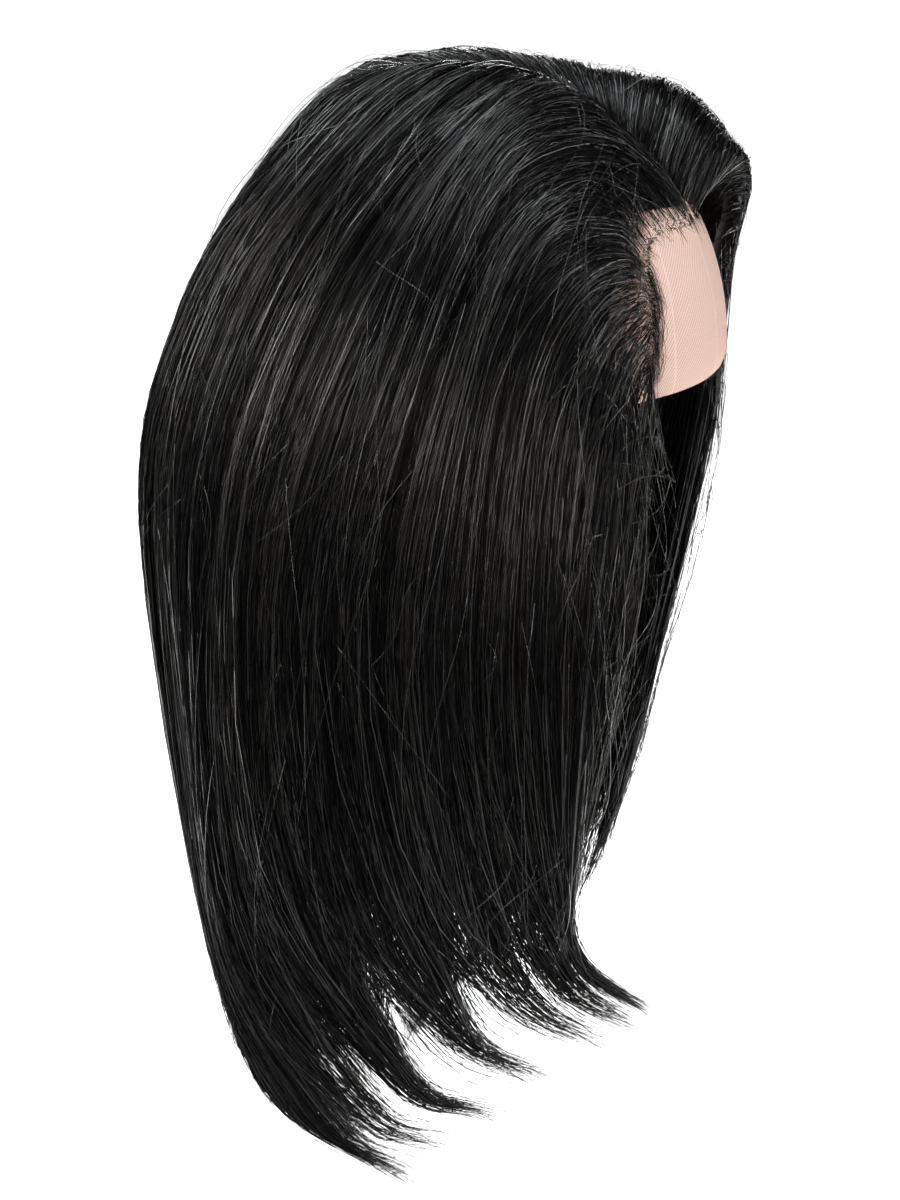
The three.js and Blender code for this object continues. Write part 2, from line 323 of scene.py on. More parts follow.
def diagonal_net(place, pitch, cross_pitch):
    """Two crossing sets of threads, as a number that is 1 on a thread and 0 in a hole."""
    one_way = ((place.along(0) + place.along(1)) * (math.pi / pitch)).wave().size()
    other_way = ((place.along(0) - place.along(1)) * (math.pi / cross_pitch)).wave().size()
    return 1 - one_way * other_way


net, net_surface, net_place = finish("black_stretch_net", roughness=0.82, specular_ior_level=0.25)
net_threads = diagonal_net(net_place, NET_PITCH, NET_PITCH) ** NET_SHARPNESS
join(net_surface["Base Color"], net_threads.colours(NET_BLACK, NET_GREY))
join(net_surface["Normal"], net_threads.relief(NET_RELIEF))

net_cap = head_sheet("net_cap", in_front=False, tuck=0)
net_cap.data.materials.append(net)
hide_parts("cap")

# Lace front
# The front of the cap is a skin-pink lace, a fine net whose mesh runs diagonally, trimmed above the brows.
# Hair is knotted into it by hand, so it is the only part of the cap that shows.
LACE_PITCH = 2.0 * MM
LACE_CROSS_PITCH = 1.35 * MM
LACE_SHARPNESS = 1.3
LACE_RELIEF = 0.12 * MM
LACE_CLOUD = {"scale": 38.0, "detail": 3.0}
LACE_CLOUD_SHARE = 0.5
LACE_THREAD = (0.93, 0.715, 0.63, 1)
LACE_HOLE = (0.55, 0.33, 0.27, 1)
LACE_SHADE = (0.76, 0.55, 0.47, 1)
LACE_PALE = (0.92, 0.74, 0.66, 1)
LACE_TUCK = 2.5 * MM
LACE_CREASES = [46 * MM, 9 * MM]
CREASE_HALF_WIDTH = 0.9 * MM
CREASE_WANDER = 4 * MM
CREASE_WANDER_SCALE = 25.0
CREASE_PALE_SHARE = 0.55
CREASE_RELIEF = 1.5

lace, lace_surface, lace_place = finish("pink_lace", roughness=0.88, specular_ior_level=0.2)
lace_threads = diagonal_net(lace_place, LACE_PITCH, LACE_CROSS_PITCH) ** LACE_SHARPNESS
lace_cloud = lace_place.noise(**LACE_CLOUD)
lace_colour = lace_threads.colours(LACE_HOLE, LACE_THREAD)
lace_colour = (lace_cloud * LACE_CLOUD_SHARE).colours(lace_colour, LACE_SHADE)
crease_wave = (lace_place.noise(CREASE_WANDER_SCALE) - 0.5) * CREASE_WANDER
creases = 0.0
for crease in LACE_CREASES:
    aside = (lace_place.along(0) + crease_wave - crease).size() * (1 / CREASE_HALF_WIDTH)
    creases = creases + (1 - aside).at_least(0.0)
lace_colour = (creases * CREASE_PALE_SHARE).colours(lace_colour, LACE_PALE)
join(lace_surface["Base Color"], lace_colour)
join(lace_surface["Normal"], (lace_threads + creases * CREASE_RELIEF).relief(LACE_RELIEF))

lace_front = head_sheet("lace_panel", in_front=True, tuck=LACE_TUCK)
lace_front.data.materials.append(lace)
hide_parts("lace_front")

# Body of the hair
# Six sections of straight black hair hang from the parting and the hairline and close round the neck.
# Each section's body is a wall of packed hair whose locks part from each other towards the hem.
HEM_SWEEP = 0.35
# Guides run from the right temple round to the left one, at stations from root to tip, in millimetres
# outwards, back and up. Where the left side repeats a guide, its tip stays back by the sweep.
RIGHT_GUIDES = [
    {"guide": "temple", "root": (46, -77, -116), "crest": (53, -82, -118), "shoulder": (60, -83, -132),
     "ear": (67, -82, -175), "waist": (74, -75, -235), "bend": (76, -60, -312),
     "hem": (70, -58, -352), "tip": (57, -80, -383)},
    {"guide": "hairline", "root": (42, -78, -84), "crest": (56, -78, -79), "shoulder": (71, -70, -90),
     "ear": (86, -62, -130), "waist": (93, -57, -215), "bend": (88, -54, -315),
     "hem": (77, -54, -361), "tip": (60, -76, -393)},
    {"guide": "recess", "root": (33, -74, -55), "crest": (48, -63, -43), "shoulder": (72, -46, -56),
     "ear": (92, -28, -110), "waist": (102, -20, -215), "bend": (95, -24, -322),
     "hem": (82, -32, -373), "tip": (63, -60, -405)},
    {"guide": "part_end", "root": (1, -82, -51), "crest": (24, -60, -22), "shoulder": (62, -36, -34),
     "ear": (92, -19, -90), "waist": (105, 0, -200), "bend": (100, -4, -325),
     "hem": (85, -14, -385), "tip": (66, -42, -417)},
    {"guide": "part_front", "root": (0.5, -60, -24), "crest": (20, -40, -1), "shoulder": (57, -20, -16),
     "ear": (92, -4, -76), "waist": (107, 22, -190), "bend": (103, 20, -330),
     "hem": (86, 4, -402), "tip": (66, -24, -433)},
    {"guide": "part_mid", "root": (0.5, -36, -7), "crest": (20, -14, 7), "shoulder": (60, 6, -22),
     "ear": (91, 28, -82), "waist": (105, 58, -190), "bend": (100, 61, -340),
     "hem": (80, 26, -426), "tip": (59, -2, -453), "sweep": 48},
    {"guide": "crown", "root": (0.5, -12, 0), "crest": (20, 18, 9), "shoulder": (58, 44, -22),
     "ear": (82, 73, -87), "waist": (94, 97, -185), "bend": (88, 96, -352),
     "hem": (67, 58, -448), "tip": (46, 26, -484), "sweep": 44},
    {"guide": "back_side", "root": (0.5, 8, 1), "crest": (14, 56, 3), "shoulder": (37, 88, -30),
     "ear": (56, 121, -95), "waist": (63, 139, -184), "bend": (56, 119, -362),
     "hem": (40, 100, -452), "tip": (28, 58, -496), "sweep": 22},
    {"guide": "back", "root": (0, 16, 0), "crest": (0, 60, 1), "shoulder": (0, 92, -30),
     "ear": (0, 126, -96), "waist": (0, 143, -184), "bend": (0, 126, -366),
     "hem": (0, 110, -454), "tip": (0, 70, -498)},
]
LEFT_FRONT_GUIDES = [
    {"guide": "temple", "root": (46, -77, -116), "crest": (51, -79, -118), "shoulder": (57, -80, -132),
     "ear": (66, -78, -160), "waist": (77, -65, -220), "bend": (82, -46, -298),
     "hem": (77, -40, -328), "tip": (70, -34, -348)},
    {"guide": "hairline", "root": (42, -78, -84), "crest": (50, -83, -80), "shoulder": (60, -83, -96),
     "ear": (72, -77, -140), "waist": (84, -61, -215), "bend": (88, -43, -310),
     "hem": (80, -34, -346), "tip": (69, -28, -370)},
    {"guide": "recess", "root": (33, -74, -55), "crest": (46, -95, -43), "shoulder": (62, -85, -74),
     "ear": (76, -73, -130), "waist": (90, -53, -205), "bend": (92, -36, -318),
     "hem": (82, -27, -362), "tip": (67, -20, -393)},
    {"guide": "part_end", "root": (1, -82, -51), "crest": (31, -88, -23), "shoulder": (58, -82, -44),
     "ear": (80, -67, -104), "waist": (97, -38, -190), "bend": (97, -18, -322),
     "hem": (84, -8, -374), "tip": (66, 0, -408)},
    {"guide": "part_front", "root": (0.5, -60, -24), "crest": (25, -61, -1), "shoulder": (56, -56, -18),
     "ear": (84, -41, -82), "waist": (103, -8, -175), "bend": (102, 8, -326),
     "hem": (87, 18, -388), "tip": (68, 26, -426)},
]
STATIONS = ["root", "crest", "shoulder", "ear", "waist", "bend", "hem", "tip"]
ROOT, CREST, SHOULDER, EAR, WAIST, BEND, HEM, TIP = range(len(STATIONS))
# Sections of hair between two guides. The last one runs a little past the left temple.
SECTIONS = [
    {"node": "hair_front_right", "from": 0, "to": 3},
    {"node": "hair_side_right", "from": 3, "to": 6},
    {"node": "hair_back_right", "from": 6, "to": 8},
    {"node": "hair_back_left", "from": 8, "to": 10},
    {"node": "hair_side_left", "from": 10, "to": 13},
    {"node": "hair_front_left", "from": 13, "to": 16.15},
]
EDGE_STRAY = 0.5
WAIST_SAMPLES = 1601
HEAD_MIDDLE_Y = 12 * MM
HEAD_MIDDLE_Z = -100 * MM
CAP_FADES = (-190 * MM, -165 * MM)
CAP_LEAST_REACH = 0.2
FRONT_EDGE = (-6 * MM, 16 * MM)
BODY_COLUMNS = 56
BODY_ROWS = 40
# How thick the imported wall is, and how deep it is sunk under the surface, in millimetres.
BODY_DEPTH = {
    "root": 2, "crest": 7, "shoulder": 8, "ear": 8,
    "waist": 8, "bend": 6, "hem": 2.5, "tip": 0.6,
}
BODY_SUNK = {
    "root": 0.6, "crest": 1.6, "shoulder": 1.8, "ear": 2,
    "waist": 2.2, "bend": 2.2, "hem": 1.6, "tip": 1,
}
BODY_RIPPLE = {
    "height": 0.5 * MM, "width": 1.3 * MM, "follows_locks": 2, "rises_with_locks": 0.5,
    "stations": (0.3, SHOULDER),
}
BODY_GAPS = {"outer": 0.3 * MM, "inner": 0.1 * MM}
BODY_ENDS = {"between_locks": 4.95, "mid_lock": 5.75}
BODY_STARTS = {"parting": 0.3 * MM, "forehead": 13 * MM}
BARE_EDGE = 7 * MM
HAIRLINE_THINS = {"temple": 1.6, "hairline": 2.5, "recess": 1.2, "part_end": 0.5}
HAIRLINE_GUIDES = (3.5, 2.9)
FINE_LOCKS = {"spacing": 2.5 * MM, "aside": 1.3 * MM, "height": 0.45 * MM}
BROAD_LOCKS = {"spacing": 12 * MM, "aside": 2.4 * MM, "height": 1.1 * MM}
LOCK_UNEVEN = 0.36
LOCK_PULL = (0.15, 0.65)
LOCK_WANDER = [{"per_station": 0.75, "share": 0.7}, {"per_station": 1.9, "share": 0.3}]
LOCK_RISE = 0.9
LOCK_HOLD = {"per_station": 0.9, "steady": 0.6, "varied": 0.4}
TIP_CURL_STARTS = 6.1
TIP_LIFT = 5 * MM
TIP_REACH = 0.1
HEM_OPENS = 0.4
HEM_CLOSES = 1.6
# Locks at the hem, by guide from each temple: where each meets the next one towards the back, where its
# tip points, the station where it parts from its neighbours, how much longer it is, in stations, and the
# share by which it closes up towards its tip.
RIGHT_HEM = [
    {"until": 0.75, "tip": 0.15, "parts": 5.5, "longer": 0.05, "gather": 0.4},
    {"until": 1.5, "tip": 1.05, "parts": 5.6, "longer": 0.0, "gather": 0.35},
    {"until": 2.5, "tip": 2.0, "parts": 5.5, "longer": 0.0, "gather": 0.35},
    {"until": 4.1, "tip": 3.3, "parts": 5.1, "longer": 0.02, "gather": 0.66},
    {"until": 5.2, "tip": 4.65, "parts": 5.0, "longer": 0.05, "gather": 0.66},
    {"until": 5.8, "tip": 5.4, "parts": 5.8, "longer": 0.0, "gather": 0.55},
    {"until": 7.1, "tip": 6.45, "parts": 5.8, "longer": 0.05, "gather": 0.5},
    {"until": 7.8, "tip": 7.4, "parts": 6.0, "longer": -0.05, "gather": 0.3},
]
LEFT_HEM = [
    {"until": 0.7, "tip": 0.3, "parts": 4.9, "longer": -1.1, "gather": 0.45},
    {"until": 1.6, "tip": 1.2, "parts": 5.0, "longer": -0.1, "gather": 0.55},
    {"until": 2.6, "tip": 2.0, "parts": 5.5, "longer": -0.2, "gather": 0.4},
    {"until": 3.9, "tip": 3.3, "parts": 5.4, "longer": -0.05, "gather": 0.5},
    {"until": 5.0, "tip": 4.4, "parts": 5.5, "longer": -0.15, "gather": 0.45},
    {"until": 6.0, "tip": 5.4, "parts": 5.7, "longer": -0.1, "gather": 0.5},
    {"until": 7.0, "tip": 6.4, "parts": 5.8, "longer": -0.15, "gather": 0.45},
    {"until": 7.8, "tip": 7.4, "parts": 6.0, "longer": -0.1, "gather": 0.3},
]
BACK_HEM = {"until": 8.2, "tip": 8.0, "parts": 6.0, "longer": -0.05, "gather": 0.2}
HAIR_BLACK = (0.0015, 0.0015, 0.0016, 1)
HAIR_SOOT = (0.0060, 0.0056, 0.0054, 1)
PACKED_STREAKS = {"across": 1500, "along": 16, "detail": 3.0}
PACKED_BANDS = {"across": 160, "along": 9, "detail": 2.0}
PACKED_CONTRAST = 1.8
PACKED_RELIEF = 0.4 * MM
METRES_PER_STATION = 0.06
LOCK_SEED = 11


def guide_table():
    """Every guide's stations in metres, from the right temple round to the left one."""
    def row(guide, side, unswept):
        sweep = guide.get("sweep", 0) * unswept
        late = {"hem": sweep * HEM_SWEEP, "tip": sweep}
        places = [(side * guide[s][0], guide[s][1] + late.get(s, 0), guide[s][2]) for s in STATIONS]
        return np.array(places) * MM
    right = [row(guide, -1, 0) for guide in RIGHT_GUIDES]
    left = [row(guide, 1, 0) for guide in LEFT_FRONT_GUIDES]
    left += [row(guide, 1, 1) for guide in RIGHT_GUIDES[len(LEFT_FRONT_GUIDES):-1]]
    return np.array(right + left[::-1])


def with_ends(table):
    """A table with one more row at each end, so that a curve can run through its first and last rows."""
    return np.concatenate([[2 * table[0] - table[1]], table, [2 * table[-1] - table[-2]]])


GUIDES = guide_table()
LAST_GUIDE = len(GUIDES) - 1
CURVE_TABLE = with_ends(with_ends(GUIDES).swapaxes(0, 1)).swapaxes(0, 1)


def spline_shares(place, last):
    """The four neighbours of each place on a smooth curve through numbered points, and their shares."""
    first = np.clip(np.floor(place).astype(int), 0, last - 1)
    u = place - first
    shares = [
        -0.5 * u + u ** 2 - 0.5 * u ** 3,
        1 - 2.5 * u ** 2 + 1.5 * u ** 3,
        0.5 * u + 2 * u ** 2 - 1.5 * u ** 3,
        -0.5 * u ** 2 + 0.5 * u ** 3,
    ]
    return first, shares


def hair_surface(guide, station):
    """Places on the hair's surface, by guide number and by station number."""
    row, across = spline_shares(guide, LAST_GUIDE)
    column, along = spline_shares(station, len(STATIONS) - 1)
    place = 0
    for i, across_share in enumerate(across):
        for j, along_share in enumerate(along):
            place = place + (across_share * along_share)[..., None] * CURVE_TABLE[row + i, column + j]
    return place


# Places across the hair are measured along its waist, in metres from the right temple. They run a little
# past both temples, so that loose hair can stray over the front edges.
WAIST_GUIDES = np.linspace(-EDGE_STRAY, LAST_GUIDE + EDGE_STRAY, WAIST_SAMPLES)
WAIST_STEPS = np.diff(hair_surface(WAIST_GUIDES, np.full_like(WAIST_GUIDES, WAIST)), axis=0)
WAIST_METRES = np.concatenate([[0], np.cumsum(np.linalg.norm(WAIST_STEPS, axis=1))])
WAIST_METRES = WAIST_METRES - np.interp(0, WAIST_GUIDES, WAIST_METRES)
WAIST_LENGTH = np.interp(LAST_GUIDE, WAIST_GUIDES, WAIST_METRES)


def waist_to_guide(metres):
    return np.interp(metres, WAIST_METRES, WAIST_GUIDES)


def guide_to_waist(guide):
    return np.interp(guide, WAIST_GUIDES, WAIST_METRES)


def inwards(place):
    """The direction from a place on the hair to the middle of the head, or level with it below the ears."""
    middle = np.zeros_like(place)
    middle[..., 1] = HEAD_MIDDLE_Y
    middle[..., 2] = np.minimum(place[..., 2], HEAD_MIDDLE_Z)
    way = middle - place
    return way / np.linalg.norm(way, axis=-1, keepdims=True)


def smooth_step(low, high, value):
    share = np.clip((value - low) / (high - low), 0, 1)
    return share * share * (3 - 2 * share)


def on_cap(place, gap):
    """Places moved straight to a gap above the cap, and how far out they lay, where 1 is on it."""
    grow = CAP_WALL + np.asarray(gap)[..., None]
    half_sizes = np.array([HEAD_HALF_WIDTH, HEAD_HALF_LENGTH, HEAD_DOME_HEIGHT]) + grow
    centre = np.array([0, 0, -HEAD_DOME_HEIGHT])
    out = place - centre
    moves = np.where(out[..., 2:] > 0, [1, 1, 1], [1, 1, 0])
    reach = np.linalg.norm(out * moves / half_sizes, axis=-1, keepdims=True)
    reach = np.maximum(reach, CAP_LEAST_REACH)
    return centre + np.where(moves > 0, out / reach, out), reach


def clear_of_cap(place, gap):
    """Moves places that lie in the head or the cap out to a gap above the cap."""
    moved, reach = on_cap(place, gap)
    inside = np.where(reach < 1, 1, 0) * smooth_step(*CAP_FADES, place[..., 2:])
    return place + (moved - place) * inside


def at_station(sizes, station):
    """A size in metres from a table of millimetres for each station."""
    return np.interp(station, range(len(STATIONS)), [sizes[name] for name in STATIONS]) * MM


def lock_middles(spacing, draw):
    """The middles of locks side by side across the hair, at uneven spacing."""
    count = round(WAIST_LENGTH / spacing)
    uneven = draw.uniform(-LOCK_UNEVEN, LOCK_UNEVEN, count)
    return (np.arange(count) + 0.5 + uneven) * WAIST_LENGTH / count


class Locks:
    """Locks of hair side by side. Each has a middle across the hair and wanders along its length."""

    def __init__(self, spacing, aside, height, draw):
        self.middles = lock_middles(spacing, draw)
        self.aside = aside
        self.height = height
        self.phases = draw.uniform(0, 2 * np.pi, (4, len(self.middles)))
        self.pull = draw.uniform(*LOCK_PULL, len(self.middles))
        self.light = draw.uniform(0, 1, len(self.middles))

    def nearest(self, across):
        return np.searchsorted((self.middles[1:] + self.middles[:-1]) / 2, across)

    def wander(self, lock, station):
        """How far the lock lies aside of its place across the hair."""
        aside = 0
        for phases, wave in zip(self.phases, LOCK_WANDER):
            aside = aside + wave["share"] * np.sin(wave["per_station"] * station + phases[lock])
        return self.aside * aside

    def rise(self, lock, station):
        """How far the lock lies above the hair's surface."""
        return self.height * np.sin(LOCK_RISE * station + self.phases[2, lock])

    def hold(self, lock, station):
        """The share by which the lock draws its strands to its middle."""
        turn = np.sin(LOCK_HOLD["per_station"] * station + self.phases[3, lock])
        return self.pull[lock] * (LOCK_HOLD["steady"] + LOCK_HOLD["varied"] * turn)


def hem_locks():
    """The locks at the hem all the way round, from the right temple to the left one."""
    starts = [0] + [lock["until"] for lock in LEFT_HEM]
    left = [
        {**lock, "until": LAST_GUIDE - start, "tip": LAST_GUIDE - lock["tip"]}
        for lock, start in zip(LEFT_HEM, starts)
    ]
    return [*RIGHT_HEM, BACK_HEM, *left[::-1]]


lock_draw = np.random.default_rng(LOCK_SEED)
FINE = Locks(**FINE_LOCKS, draw=lock_draw)
BROAD = Locks(**BROAD_LOCKS, draw=lock_draw)
HEM_EDGES = guide_to_waist(np.array([lock["until"] for lock in hem_locks()]))
HEM_TIPS = guide_to_waist(np.array([lock["tip"] for lock in hem_locks()]))
HEM_PARTS = np.array([lock["parts"] for lock in hem_locks()])
HEM_LONGER = np.array([lock["longer"] for lock in hem_locks()])
HEM_GATHER = np.array([lock["gather"] for lock in hem_locks()])


def hem_lock_of(across):
    return np.minimum(np.searchsorted(HEM_EDGES, across), len(HEM_EDGES) - 1)


def gathered(across, station, lock, gather):
    """Draws places across the hair to the tip of their lock at the hem, more and more along it."""
    pull = gather * smooth_step(HEM_PARTS[lock] - HEM_OPENS, HEM_PARTS[lock] + HEM_CLOSES, station)
    return across + pull * (HEM_TIPS[lock] - across)


def flicked(guide, station):
    """Places on the hair's surface whose tips are curled on and up, past where the guides leave them."""
    hem = hair_surface(guide, np.full_like(station, HEM))
    onward = hair_surface(guide, np.full_like(station, TIP)) - hem
    curl = np.maximum(station - TIP_CURL_STARTS, 0)[..., None] ** 2
    flick = onward * np.array([TIP_REACH, TIP_REACH, 0]) + np.array([0, 0, TIP_LIFT])
    return hair_surface(guide, station) + curl * flick


def root_length(guide):
    """The length of the hair in metres from its root to the crest, which is one station further."""
    lengths = np.linalg.norm(GUIDES[:, CREST] - GUIDES[:, ROOT], axis=1)
    return np.interp(guide, range(len(GUIDES)), lengths)


def from_temple(guide):
    """How many guides a place lies from the nearer temple."""
    return np.minimum(guide, LAST_GUIDE - guide)


def on_forehead(guide):
    """1 for guides that start at the hairline, and 0 for those that start at the parting."""
    return smooth_step(*HAIRLINE_GUIDES, from_temple(guide))


def thinness(guide):
    """How far back the hair thickens behind the hairline, as a share."""
    return np.interp(from_temple(guide), range(len(HAIRLINE_THINS)), [*HAIRLINE_THINS.values()])


def mesh_piece(name, points, faces, materials, material_of_face=None):
    """A mesh from an array of points and arrays of faces with three or four corners, shaded smooth."""
    corners = np.concatenate([group.ravel() for group in faces])
    sizes = np.concatenate([np.full(len(group), group.shape[1]) for group in faces])
    mesh = bpy.data.meshes.new(name)
    mesh.vertices.add(len(points))
    mesh.vertices.foreach_set("co", points.astype(np.float32).ravel())
    mesh.loops.add(len(corners))
    mesh.loops.foreach_set("vertex_index", corners.astype(np.int32))
    mesh.polygons.add(len(sizes))
    mesh.polygons.foreach_set("loop_start", np.concatenate([[0], np.cumsum(sizes)[:-1]]).astype(np.int32))
    for material in materials:
        mesh.materials.append(material)
    if material_of_face is not None:
        mesh.polygons.foreach_set("material_index", material_of_face.astype(np.int32))
    mesh.update(calc_edges=True)
    mesh.shade_smooth()
    piece = bpy.data.objects.new(name, mesh)
    bpy.context.scene.collection.objects.link(piece)
    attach(piece, "root")
    return piece


def grid_faces(rows, columns, flip):
    """Four-cornered faces over a grid of points, numbered row by row."""
    first = (np.arange(rows - 1)[:, None] * columns + np.arange(columns - 1)).ravel()
    quads = np.stack([first, first + 1, first + columns + 1, first + columns], axis=1)
    return quads[:, ::-1] if flip else quads


def body_deep(across, station):
    """How deep the inner face of the hair lies. The walls thin out at their front edges."""
    from_edge = np.minimum(across, WAIST_LENGTH - across)
    full = smooth_step(*FRONT_EDGE, from_edge)
    return at_station(BODY_SUNK, station) + at_station(BODY_DEPTH, station) * full


def body_reach(across, lock):
    """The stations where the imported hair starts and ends. It hangs lowest in the middle of each lock."""
    edges = np.concatenate([[0], HEM_EDGES])
    before_tip = HEM_TIPS[lock] - edges[lock]
    after_tip = edges[lock + 1] - HEM_TIPS[lock]
    to_edge = np.where(across < HEM_TIPS[lock], before_tip, after_tip)
    off_middle = np.clip(np.abs(across - HEM_TIPS[lock]) / to_edge, 0, 1)
    last = BODY_ENDS["mid_lock"] + (BODY_ENDS["between_locks"] - BODY_ENDS["mid_lock"]) * off_middle
    last = last + np.minimum(HEM_LONGER[lock], 0) / 2
    guide = waist_to_guide(across)
    at_hairline = BODY_STARTS["forehead"] * thinness(guide)
    first = BODY_STARTS["parting"] + (at_hairline - BODY_STARTS["parting"]) * on_forehead(guide)
    return first / root_length(guide), last


def wall_faces(rows, columns):
    """Faces of a wall from two grids of points, the outer grid first, joined round their edge."""
    number = np.arange(rows * columns).reshape(rows, columns)
    edge = np.concatenate([number[0, :-1], number[:-1, -1], number[-1, :0:-1], number[:0:-1, 0]])
    after = np.roll(edge, -1)
    rim = np.stack([edge, edge + number.size, after + number.size, after], axis=1)
    outer = grid_faces(rows, columns, flip=False)
    inner = grid_faces(rows, columns, flip=True) + number.size
    return [outer, inner, rim[:, ::-1]]


def hair_body(section):
    """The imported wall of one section, with a rippled outer face and a plain inner one."""
    first_column = max(guide_to_waist(section["from"]), BARE_EDGE)
    last_column = min(guide_to_waist(section["to"]), WAIST_LENGTH - BARE_EDGE)
    across = np.linspace(first_column, last_column, BODY_COLUMNS)
    lock = hem_lock_of(across)
    first, last = body_reach(across, lock)
    share = np.linspace(0, 1, BODY_ROWS)[:, None]
    station = first * (1 - share) + last * share
    across = across[None, :]
    flowing = gathered(across, station, lock[None, :], HEM_GATHER[lock][None, :])
    surface = flicked(waist_to_guide(flowing), station)
    inward = inwards(surface)
    broad = BROAD.nearest(across)
    wave = across / BODY_RIPPLE["width"] + BODY_RIPPLE["follows_locks"] * BROAD.wander(broad, station) / MM
    ripple = BODY_RIPPLE["height"] * np.sin(wave)
    ripple = ripple - BODY_RIPPLE["rises_with_locks"] * BROAD.rise(broad, station)
    sunk = at_station(BODY_SUNK, station) + ripple * smooth_step(*BODY_RIPPLE["stations"], station)
    deep = body_deep(across, station)
    outer = clear_of_cap(surface + inward * sunk[..., None], BODY_GAPS["outer"])
    inner = clear_of_cap(surface + inward * deep[..., None], BODY_GAPS["inner"])
    points = np.concatenate([outer.reshape(-1, 3), inner.reshape(-1, 3)])
    faces = wall_faces(BODY_ROWS, BODY_COLUMNS)
    piece = mesh_piece(section["node"] + "_body", points, faces, [packed_hair])
    flat = np.stack([np.broadcast_to(across, station.shape), station * METRES_PER_STATION], axis=-1)
    flat = flat.reshape(-1, 2)
    flat_map = piece.data.uv_layers.new(name="flat")
    corner = np.empty(len(piece.data.loops), dtype=np.int32)
    piece.data.loops.foreach_get("vertex_index", corner)
    flat_map.data.foreach_set("uv", flat[corner % len(flat)].astype(np.float32).ravel())
    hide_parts(section["node"])


def packed_pattern(pattern):
    """Noise drawn out along the hair."""
    place = packed_place.stretched(pattern["across"], pattern["along"])
    return place.noise(1.0, pattern["detail"])


packed_hair, packed_surface, packed_place = finish("packed_hair", roughness=0.45, specular_ior_level=0.2)
hair_streaks = packed_pattern(PACKED_STREAKS)
hair_light = hair_streaks * packed_pattern(PACKED_BANDS) * PACKED_CONTRAST
join(packed_surface["Base Color"], hair_light.colours(HAIR_BLACK, HAIR_SOOT))
join(packed_surface["Normal"], hair_streaks.relief(PACKED_RELIEF))

for section in SECTIONS:
    hair_body(section)

# Strands
# Loose hair lies over the body, inside and out: straight black fibres knotted at the parting and hairline.
# They run side by side in small locks that cross a little, and gather into pointed tips at the hem.
STRAND_SIDES = 3
FIRST_STRAND_SEED = 100
STRAND_KINDS = [
    {"kind": "surface", "per_metre": 4050, "radius": 0.25 * MM, "rings": 26},
    {"kind": "fine", "per_metre": 2100, "radius": 0.17 * MM, "rings": 26},
    {"kind": "late", "per_metre": 1900, "radius": 0.22 * MM, "rings": 16,
     "start": (0.5, 4.2), "layer": (-0.8 * MM, 1.6 * MM)},
    {"kind": "inner", "per_metre": 2100, "radius": 0.28 * MM, "rings": 10,
     "start": (0.9, 2.6), "layer": (-0.3 * MM, 1.2 * MM), "shorter": (0.2, 0.9)},
]
RADIUS_VARIES = (0.75, 1.25)
TAPER_ROOT = {"share": 0.12, "thin": 0.45, "swell": 0.55}
TAPER_TIP = {"share": 0.72, "thins": 0.8}
LOCK_SHARE = 0.22
VEIL_SHARE = 0.33
CROWN_GUIDES = (4.8, 5.8)
PARTING_OVERLAP = {"front": 1.5 * MM, "crown": 9 * MM}
PARTING_BEHIND = 4 * MM
HAIRLINE_STARTS = (-0.5 * MM, 4 * MM, 16 * MM)
SURFACE_LAYERS = 0.9 * MM
SURFACE_RAISED = 0.4 * MM
ENDS_PAST_TIP = 0.38
ENDS_SHORTER = {"shape": 2, "scale": 0.34}
SHORTEST_END = 5.2
RIGHT_SIDE_FADES = (0.35, 0.5)
SWEEP = {"far": 28 * MM, "behind_edge": (0, 70 * MM), "stations": (WAIST, 6.2), "uneven": 0.45}
SWEPT_BACK = {"far": 32 * MM, "behind_edge": (20 * MM, 110 * MM), "stations": (-0.4, 3.4)}
ROOTS_COME_FREE = 1.5
OWN_WANDER = {"slow": 1.1 * MM, "quick": 1.3 * MM}
OWN_WAVES = {"slow": 0.8, "quick": (2.3, 4.2)}
DRIFT = {"tails": 2.2, "most": 9, "scale": 3.2 * MM}
BUNCH = {"share": (0.1, 0.5), "stations": (5.3, 6.7)}
GATHER_VARIES = (1.25, 0.2)
GATHER_MOST = 0.9
FAN = {"aside": 5 * MM, "starts": 6.2, "power": 1.5}
TIP_LAYERS = 2.2 * MM
STRAND_GAP = {"root": 0.2 * MM, "further": (0.5 * MM, 1.6 * MM), "within": 0.12}
# Shades of black. A strand takes the first one whose limit its lightness stays under.
HAIR_SHADES = [
    {"name": "hair_jet", "until": 0.5, "colour": (0.0012, 0.0012, 0.0013, 1),
     "roughness": 0.34, "shine": 0.12},
    {"name": "hair_soot", "until": 0.7, "colour": (0.0030, 0.0031, 0.0034, 1),
     "roughness": 0.26, "shine": 0.35},
    {"name": "hair_brown_black", "until": 0.87, "colour": (0.0080, 0.0067, 0.0058, 1),
     "roughness": 0.23, "shine": 0.6},
    {"name": "hair_grey_black", "until": 1.0, "colour": (0.0300, 0.0295, 0.0290, 1),
     "roughness": 0.2, "shine": 1.0},
]


def units(ways):
    """Directions of length 1. A way of no length stays as it is."""
    return ways / (np.linalg.norm(ways, axis=-1, keepdims=True) + 1e-12)


